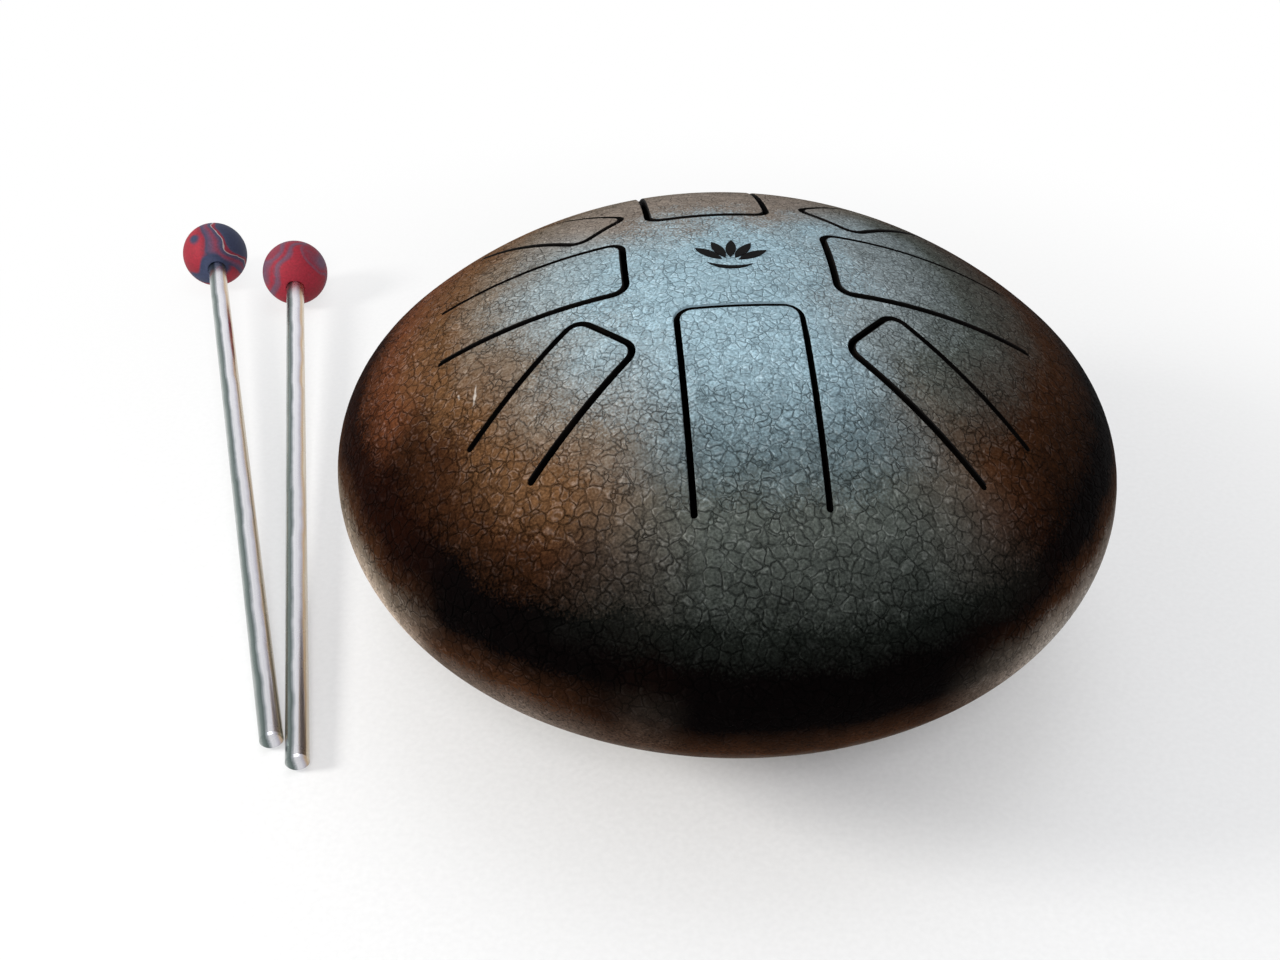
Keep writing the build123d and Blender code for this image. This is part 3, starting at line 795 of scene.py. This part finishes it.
class Tongue:
    """One tongue's outline, in the plane that faces it squarely: x runs from tip to root, y to the left."""

    def __init__(self, index, name, width, tip_radius, root_radius, side_shift):
        tip_lean = asin(tip_radius * MM / CROWN_RADIUS)
        root_lean = asin(root_radius * MM / CROWN_RADIUS)
        lean = (tip_lean + root_lean) / 2
        bearing = FRONT_BEARING + tau / len(TONGUES) * index
        out = Vector((cos(bearing), sin(bearing), 0))
        self.name = name
        self.along = out * cos(lean) - UP * sin(lean)
        self.facing = out * sin(lean) + UP * cos(lean)
        self.across = self.facing.cross(self.along)
        self.side = width * MM / 2
        self.shift = side_shift * MM
        self.root = CROWN_RADIUS * sin((root_lean - tip_lean) / 2)
        self.tip = -self.root

    def place(self, x, y):
        """The point of the dish's outside above (x, y), from the crown's centre."""
        y += self.shift
        return self.along * x + self.across * y + self.facing * sqrt(CROWN_RADIUS**2 - x**2 - y**2)

    def spot(self, x, y):
        place = self.place(x, y)
        return to_map(CROWN_RADIUS * acos(place.z / CROWN_RADIUS), atan2(place.y, place.x))

    def outline(self, grow, steel_outside):
        """Spots round the tongue, anticlockwise from its root, that far from the edge of the steel."""
        half = HALF_SLOT + grow
        root_half = self.side - half
        inner_half = self.side - HALF_SLOT - EDGE_ROUNDING
        between = [y * inner_half for y in np.linspace(-1, 1, round(2 * inner_half / FACE_SIZE) + 1)[1:-1]]
        root = [(self.root, y) for y in (-root_half, *between, root_half)]
        offset = half if steel_outside else -half
        corner = TIP_CORNER + offset
        bend = self.tip + TIP_CORNER
        tip_half = self.side - TIP_CORNER
        side_steps = round((self.root - bend) / FACE_SIZE)
        tip_steps = round(2 * tip_half / FACE_SIZE)
        left = []
        if steel_outside:
            for angle in np.linspace(-pi / 2, pi / 2, CORNER_STEPS + 1)[1:-1]:
                left.append((self.root + half * cos(angle), self.side + half * sin(angle)))
            left.append((self.root, self.side + half))
        left += [(x, self.side + offset) for x in np.linspace(self.root, bend, side_steps + 1)[1:]]
        for angle in np.linspace(pi / 2, pi, CORNER_STEPS + 1)[1:]:
            left.append((bend + corner * cos(angle), tip_half + corner * sin(angle)))
        tip = [(self.tip - offset, y) for y in np.linspace(1, -1, tip_steps + 1)[1:-1] * tip_half]
        right = [(x, -y) for x, y in reversed(left)]
        return [self.spot(x, y) for x, y in root + left + tip + right]

    def edge(self, steel_outside):
        """The rounded edge of the steel, then the wall of the slot."""
        steps = []
        for turn in np.linspace(0, pi / 2, EDGE_STEPS + 1):
            grow = EDGE_ROUNDING * (1 - sin(turn))
            steps.append((self.outline(grow, steel_outside), EDGE_ROUNDING * (1 - cos(turn)), turn))
        for depth in (FRONT_PAINT_DEPTH, WALL):
            steps.append((self.outline(0, steel_outside), depth, pi / 2))
        # Past the paint the edges are bare near-black steel; off the front slot the rounded edges are left
        # dark, painted shade that thickens the slots' dark lines
        if self.name == "front":
            painted = FRONT_PAINT_DEPTH if steel_outside else EDGE_ROUNDING
        else:
            painted = 0.5 * EDGE_ROUNDING if steel_outside else 0
        return SheetEdge(steps, not steel_outside, painted)


tongues = [Tongue(index, *row) for index, row in enumerate(TONGUES)]


# Pieces of the drum and its mallets


def top_dish():
    """The upper dish with its eight slots, down to the weld."""
    bearings = [tau * i / RIM_FACES for i in range(RIM_FACES)]
    weld_run = run_to_lean(WELD_LEAN)
    weld_root_run = run_to_lean(WELD_ROOT_LEAN)
    rim = [to_map(weld_run, bearing) for bearing in bearings]
    rim_root = [to_map(weld_root_run, bearing) for bearing in bearings]
    edges = [SheetEdge([(rim, 0, 0), (rim_root, WALL, 0)], True)]
    edges += [tongue.edge(True) for tongue in tongues]
    filling = map_rings(weld_run - 0.5 * FACE_SIZE)
    for tongue in tongues:
        clear = tongue.outline(EDGE_ROUNDING + SPOT_CLEARANCE, True)
        filling = filling[~inside(filling, np.array(clear))]
    return steel_sheet("top_dish", edges, filling)


def tongue_blade(tongue):
    """The steel of one tongue, up to the hairline at its root."""
    rings = map_rings(CROWN_RUN)
    clear = tongue.outline(EDGE_ROUNDING + SPOT_CLEARANCE, False)
    filling = rings[inside(rings, np.array(clear))]
    root = tongue.along.dot(dish_place(*from_map(tongue.spot(tongue.root, 0))))
    from_root = [abs(tongue.along.dot(dish_place(*from_map(Vector(spot)))) - root) for spot in filling]
    filling = filling[np.array(from_root) > SPOT_CLEARANCE]
    return steel_sheet(f"{tongue.name}_tongue", [tongue.edge(False)], filling)


def dish_arc(depth, first_lean, last_lean, steps, flip):
    """Section of a bottom dish's surface between two leans of the wall."""
    section = []
    for lean in np.linspace(first_lean, last_lean, steps + 1):
        on_knuckle = lean > CROWN_LEAN
        radius = (KNUCKLE_RADIUS if on_knuckle else CROWN_RADIUS) - depth
        centre_radius = KNUCKLE_CENTRE_RADIUS if on_knuckle else 0
        centre_height = RIM_HEIGHT if on_knuckle else RIM_HEIGHT + CROWN_SINK
        facing = pi - lean if not flip else -lean
        section.append((centre_radius + radius * sin(lean), centre_height - radius * cos(lean), facing))
    return section


def bottom_dish():
    """The lower dish with its sound port, whose lip is rounded."""
    port_lean = asin((PORT_RADIUS + PORT_LIP) / CROWN_RADIUS)
    inner_port_lean = asin((PORT_RADIUS + PORT_LIP) / (CROWN_RADIUS - WALL))
    knuckle_lean = CROWN_LEAN + 1e-6  # just past the join
    outside = dish_arc(0, port_lean, CROWN_LEAN, CROWN_STEPS, False)
    outside += dish_arc(0, knuckle_lean, WELD_LEAN, KNUCKLE_STEPS, False)[1:]
    within = dish_arc(WALL, WELD_ROOT_LEAN, knuckle_lean, KNUCKLE_STEPS, True)
    within += dish_arc(WALL, CROWN_LEAN, inner_port_lean, CROWN_STEPS, True)[1:]
    low = outside[0][1]
    high = within[-1][1]
    mouth = []
    for turn in np.linspace(0, pi / 2, PORT_LIP_STEPS + 1):
        radius = PORT_RADIUS + PORT_LIP * (1 - sin(turn))
        mouth.append((radius, low + PORT_LIP * (1 - cos(turn)), pi + turn))
    for turn in np.linspace(pi / 2, 0, PORT_LIP_STEPS + 1):
        radius = PORT_RADIUS + PORT_LIP * (1 - sin(turn))
        mouth.append((radius, high - PORT_LIP * (1 - cos(turn)), 2 * pi - turn))
    bevel = atan2(WALL, WELD_HALF_FACE - WELD_HALF_ROOT)
    groove = [(*outside[-1][:2], bevel), (*within[0][:2], bevel)]
    runs = [(lacquer, outside), (dark_steel, groove), (dark_steel, within), (lacquer, mouth[::-1])]
    return turned_piece("bottom_dish", runs, RIM_FACES)


def weld_bead():
    """The bead ground flush with both dishes and painted over, dark within."""
    face = []
    for lean in np.linspace(WELD_LEAN, pi - WELD_LEAN, WELD_STEPS + 1):
        radius = KNUCKLE_CENTRE_RADIUS + KNUCKLE_RADIUS * sin(lean)
        face.append((radius, RIM_HEIGHT + KNUCKLE_RADIUS * cos(lean), lean))
    inner_knuckle = KNUCKLE_RADIUS - WALL
    root = []
    for lean in (pi - WELD_ROOT_LEAN, WELD_ROOT_LEAN):
        radius = KNUCKLE_CENTRE_RADIUS + inner_knuckle * sin(lean)
        root.append((radius, RIM_HEIGHT + inner_knuckle * cos(lean), -pi / 2))
    runs = [
        (lacquer, face),
        (dark_steel, [(*face[-1][:2], pi), (*root[0][:2], pi)]),
        (dark_steel, root),
        (dark_steel, [(*root[1][:2], 0), (*face[0][:2], 0)]),
    ]
    return turned_piece("weld_bead", runs, RIM_FACES)


def rubber_foot(number, rubber):
    """A tapered foot with a rounded sole, moulded to the dish that it carries, with a bore for its screw."""
    bearing = radians(FOOT_BEARING + 360 / FOOT_COUNT * (number - 1))
    centre = Vector((FOOT_CIRCLE_RADIUS * cos(bearing), FOOT_CIRCLE_RADIUS * sin(bearing), 0))
    top = dish_height(FOOT_CIRCLE_RADIUS)

    def settle(place):
        """Puts a point of the turned foot in its place, drawn up or down to the dish."""
        spot = centre + place
        if place.z > FOOT_STRAIGHT:
            share = (place.z - FOOT_STRAIGHT) / (top - FOOT_STRAIGHT)
            spot.z = FOOT_STRAIGHT + share * (dish_height(hypot(spot.x, spot.y)) - FOOT_STRAIGHT)
        return spot

    rounding = FOOT_EDGE_ROUNDING
    flare = atan2(FOOT_TOP_RADIUS - FOOT_BASE_RADIUS, top)
    side = []
    for turn in np.linspace(0, pi / 2 - flare, FOOT_STEPS + 1):
        side.append((FOOT_BASE_RADIUS + rounding * (sin(turn) - 1), rounding * (1 - cos(turn)), pi - turn))
    start_radius, start_height = side[-1][:2]
    for share in np.linspace(0, 1, FOOT_STEPS + 1)[1:]:
        radius = start_radius + (FOOT_TOP_RADIUS - start_radius) * share
        side.append((radius, start_height + (top - start_height) * share, pi / 2 + flare))
    bore = COUNTERBORE_RADIUS
    mouth = COUNTERBORE_RADIUS + COUNTERBORE_EDGE
    sections = (
        [(0, COUNTERBORE_DEPTH, pi), (bore, COUNTERBORE_DEPTH, pi)],
        [(bore, COUNTERBORE_DEPTH, -pi / 2), (bore, COUNTERBORE_EDGE, -pi / 2)],
        [(bore, COUNTERBORE_EDGE, -0.75 * pi), (mouth, 0, -0.75 * pi)],
        [(mouth, 0, pi), (FOOT_BASE_RADIUS - rounding, 0, pi)],
        side,
        [(FOOT_TOP_RADIUS * share, top, 0) for share in (1, 0.75, 0.5, 0.25, 0)],
    )
    runs = [(rubber, section) for section in sections]
    return turned_piece(f"rubber_foot_{number}", runs, settle=settle)


def mallet_frame(side, at_ball):
    """A frame on the ball's centre or the rod's plain end: x to the right, y down, z towards the head."""
    ball_low, ball_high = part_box(f"{side}_mallet_head")
    rod_low, rod_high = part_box(f"{side}_mallet_rod")
    ball_x = (ball_low.x + ball_high.x) / 2
    ball_z = (ball_low.z + ball_high.z) / 2
    ball = Vector((ball_x, ball_high.y - BALL_RADIUS, ball_z))
    middle = (rod_low + rod_high) / 2
    along = (ball - middle).normalized()
    right = along.cross(UP).normalized()
    down = along.cross(right)
    origin = ball if at_ball else middle - along * ROD_LENGTH / 2
    return Matrix.Translation(origin) @ Matrix((right, down, along)).transposed().to_4x4()


def mallet_rod(side, metal):
    """A plain rod, chamfered at both ends."""
    inner = ROD_RADIUS - ROD_CHAMFER
    far = ROD_LENGTH
    shoulder = ROD_LENGTH - ROD_CHAMFER
    sections = (
        [(0, 0, pi), (inner, 0, pi)],
        [(inner, 0, 0.75 * pi), (ROD_RADIUS, ROD_CHAMFER, 0.75 * pi)],
        [(ROD_RADIUS, z, pi / 2) for z in np.linspace(ROD_CHAMFER, shoulder, ROD_STEPS + 1)],
        [(ROD_RADIUS, shoulder, 0.25 * pi), (inner, far, 0.25 * pi)],
        [(inner, far, 0), (0, far, 0)],
    )
    rod = turned_piece(f"{side}_rod", [(metal, section) for section in sections])
    rod.matrix_world = mallet_frame(side, False)
    return rod


def mallet_ball(side, rubber):
    """A moulded ball whose socket has a rounded lip round the rod."""
    mouth_radius = ROD_RADIUS + SOCKET_LIP
    mouth_lean = pi - asin(mouth_radius / BALL_RADIUS)
    outside = [(0, BALL_RADIUS, 0)]
    for lean in np.linspace(0, mouth_lean, BALL_STEPS + 1)[1:]:
        outside.append((BALL_RADIUS * sin(lean), BALL_RADIUS * cos(lean), lean))
    mouth_height = outside[-1][1]
    lip = []
    for turn in np.linspace(0, pi / 2, SOCKET_LIP_STEPS + 1):
        radius = mouth_radius - SOCKET_LIP * sin(turn)
        lip.append((radius, mouth_height + SOCKET_LIP * (1 - cos(turn)), pi + turn))
    place = mallet_frame(side, True)
    reach = (place.translation - mallet_frame(side, False).translation).length
    rod_end = ROD_LENGTH - reach
    wall = [(ROD_RADIUS, lip[-1][1], 1.5 * pi), (ROD_RADIUS, rod_end, 1.5 * pi)]
    end = [(ROD_RADIUS, rod_end, pi), (0, rod_end, pi)]
    runs = [(rubber, section) for section in (outside, lip, wall, end)]
    ball = turned_piece(f"{side}_ball", runs, BALL_FACES)
    ball.matrix_world = place
    return ball


def carry(piece, body, node):
    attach(piece, body)
    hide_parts(node)


carry(top_dish(), "drum", "top_shell")
carry(bottom_dish(), "drum", "bottom_shell")
carry(weld_bead(), "drum", "rim_weld")
for tongue in tongues:
    blade = tongue_blade(tongue)
    root = UP * (RIM_HEIGHT - CROWN_SINK) + tongue.place(tongue.root, 0)
    body = f"tongue_{tongue.name}"
    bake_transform(blade)
    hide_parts(body)

rubber = foot_rubber()
for number in range(1, FOOT_COUNT + 1):
    carry(rubber_foot(number, rubber), "drum", f"foot_{number}")

metal = drawn_aluminium()
for side, marbling in (("left", LEFT_MARBLING), ("right", RIGHT_MARBLING)):
    marbled = marbled_rubber(f"marbled_rubber_moulded_{side}", **marbling)
    carry(mallet_rod(side, metal), f"{side}_mallet", f"{side}_mallet_rod")
    carry(mallet_ball(side, marbled), f"{side}_mallet", f"{side}_mallet_head")

zinc = zinc_plate()
for node, finish in (("lotus_emblem", vinyl_film()), ("foot_washers", zinc), ("foot_screws", zinc)):
    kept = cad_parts[node].data
    kept.materials.clear()
    kept.materials.append(finish)


# Floor, light and camera


def seen_ray(tree):
    """1 where the eye looks, straight, in a reflection or through something clear, and 0 for other light."""
    ray = add(tree, "LightPath")
    seen = add(tree, "Math", LARGER, {0: (ray, "Is Camera Ray"), 1: (ray, "Is Glossy Ray")})
    return add(tree, "Math", LARGER, {0: seen, 1: (ray, "Is Transmission Ray")})


def seamless_paper():
    """Matt white studio paper: it takes the shadow near the drum and fades to plain white away from it."""
    material, tree, spot = new_finish("studio_paper_matt")
    fibre = add(tree, "TexNoise", sockets={"Vector": spot, "Scale": per(1.5), "Detail": 4.0})
    colour = add(tree, "ValToRGB", sockets={"Fac": fibre}, stops=((0.3, "#EDEDED"), (0.7, "#F4F4F4")))
    matt = add(tree, "BsdfDiffuse", sockets={"Color": colour})
    distance = (add(tree, "VectorMath", LENGTH, {0: spot}), "Value")
    # Two rings, in metres from the drum's axis, over which the paper whitens, and how much each gives
    fades = []
    for start, end, part in ((0.05, 0.12, 0.4), (0.11, 0.34, 0.6)):
        fade = {"Value": distance, "From Min": start, "From Max": end, "To Max": part}
        fades.append(add(tree, "MapRange", SOFT_STEP, fade))
    share = add(tree, "Math", PLUS, {0: fades[0], 1: fades[1]})
    share = add(tree, "Math", TIMES, {0: share, 1: seen_ray(tree)})
    white = add(tree, "Emission", sockets={"Color": (1, 1, 1, 1), "Strength": 1.0})
    mixed = add(tree, "MixShader", sockets={0: share, 1: matt, 2: white})
    add(tree, "OutputMaterial", sockets={"Surface": mixed})
    return material


def floor():
    """A wide sheet of paper, just under the feet."""
    reach = 4.0
    below = -0.2 * MM
    mesh = bpy.data.meshes.new("floor")
    corners = [(x * reach, y * reach, below) for x, y in ((-1, -1), (1, -1), (1, 1), (-1, 1))]
    mesh.from_pydata(corners, [], [(0, 1, 2, 3)])
    mesh.materials.append(seamless_paper())
    put_in_scene("floor", mesh)


def softbox(name, place, aim, width, power, colour):
    data = bpy.data.lights.new(name, "AREA")
    data.shape = "DISK"
    data.size = width
    data.energy = power
    data.color = tint(colour)[:3]
    lamp = put_in_scene(name, data)
    lamp.location = place
    lamp.rotation_euler = (Vector(aim) - Vector(place)).to_track_quat("-Z", "Y").to_euler()


def room():
    """Even, dim light from all round; to the eye and in reflections the room is plain white."""
    world = bpy.data.worlds.new("room")
    world.use_nodes = True
    tree = world.node_tree
    tree.nodes.clear()
    dim = add(tree, "Background", sockets={"Color": (1, 1, 1, 1), "Strength": 0.38})
    white = add(tree, "Background", sockets={"Color": (1, 1, 1, 1), "Strength": 1.0})
    mixed = add(tree, "MixShader", sockets={0: seen_ray(tree), 1: dim, 2: white})
    add(tree, "OutputWorld", sockets={"Surface": mixed})
    bpy.context.scene.world = world


def camera():
    """Where the photograph was taken from: about the player's eyes, turned a little to the left."""
    ahead = Vector(CAMERA_AHEAD).normalized()
    right = Vector(CAMERA_RIGHT)
    right = (right - ahead * right.dot(ahead)).normalized()
    up = right.cross(ahead)
    data = bpy.data.cameras.new("camera")
    data.sensor_fit = "HORIZONTAL"
    data.sensor_width = FILM_WIDTH
    data.lens = FILM_WIDTH * FOCAL_LENGTH / PICTURE_WIDTH
    data.clip_start = 0.01
    made = put_in_scene("camera", data)
    turned = Matrix((right, up, -ahead)).transposed().to_4x4()
    made.matrix_world = Matrix.Translation(CAMERA_PLACE) @ turned
    bpy.context.scene.camera = made


floor()
room()
softbox("overhead", (0.0, 0.15, 1.0), aim=(0, 0, 0.08), width=0.6, power=1.7, colour="#F4F8FF")
softbox("window", (-0.8, -0.2, 0.5), aim=(0, 0, 0.1), width=0.25, power=5.5, colour="#FFFDF8")
softbox("front", (0.05, -0.8, 0.8), aim=(0, 0, 0.08), width=0.4, power=4.4, colour="#F8FAFF")
camera()
bpy.context.scene.view_settings.view_transform = "Standard"
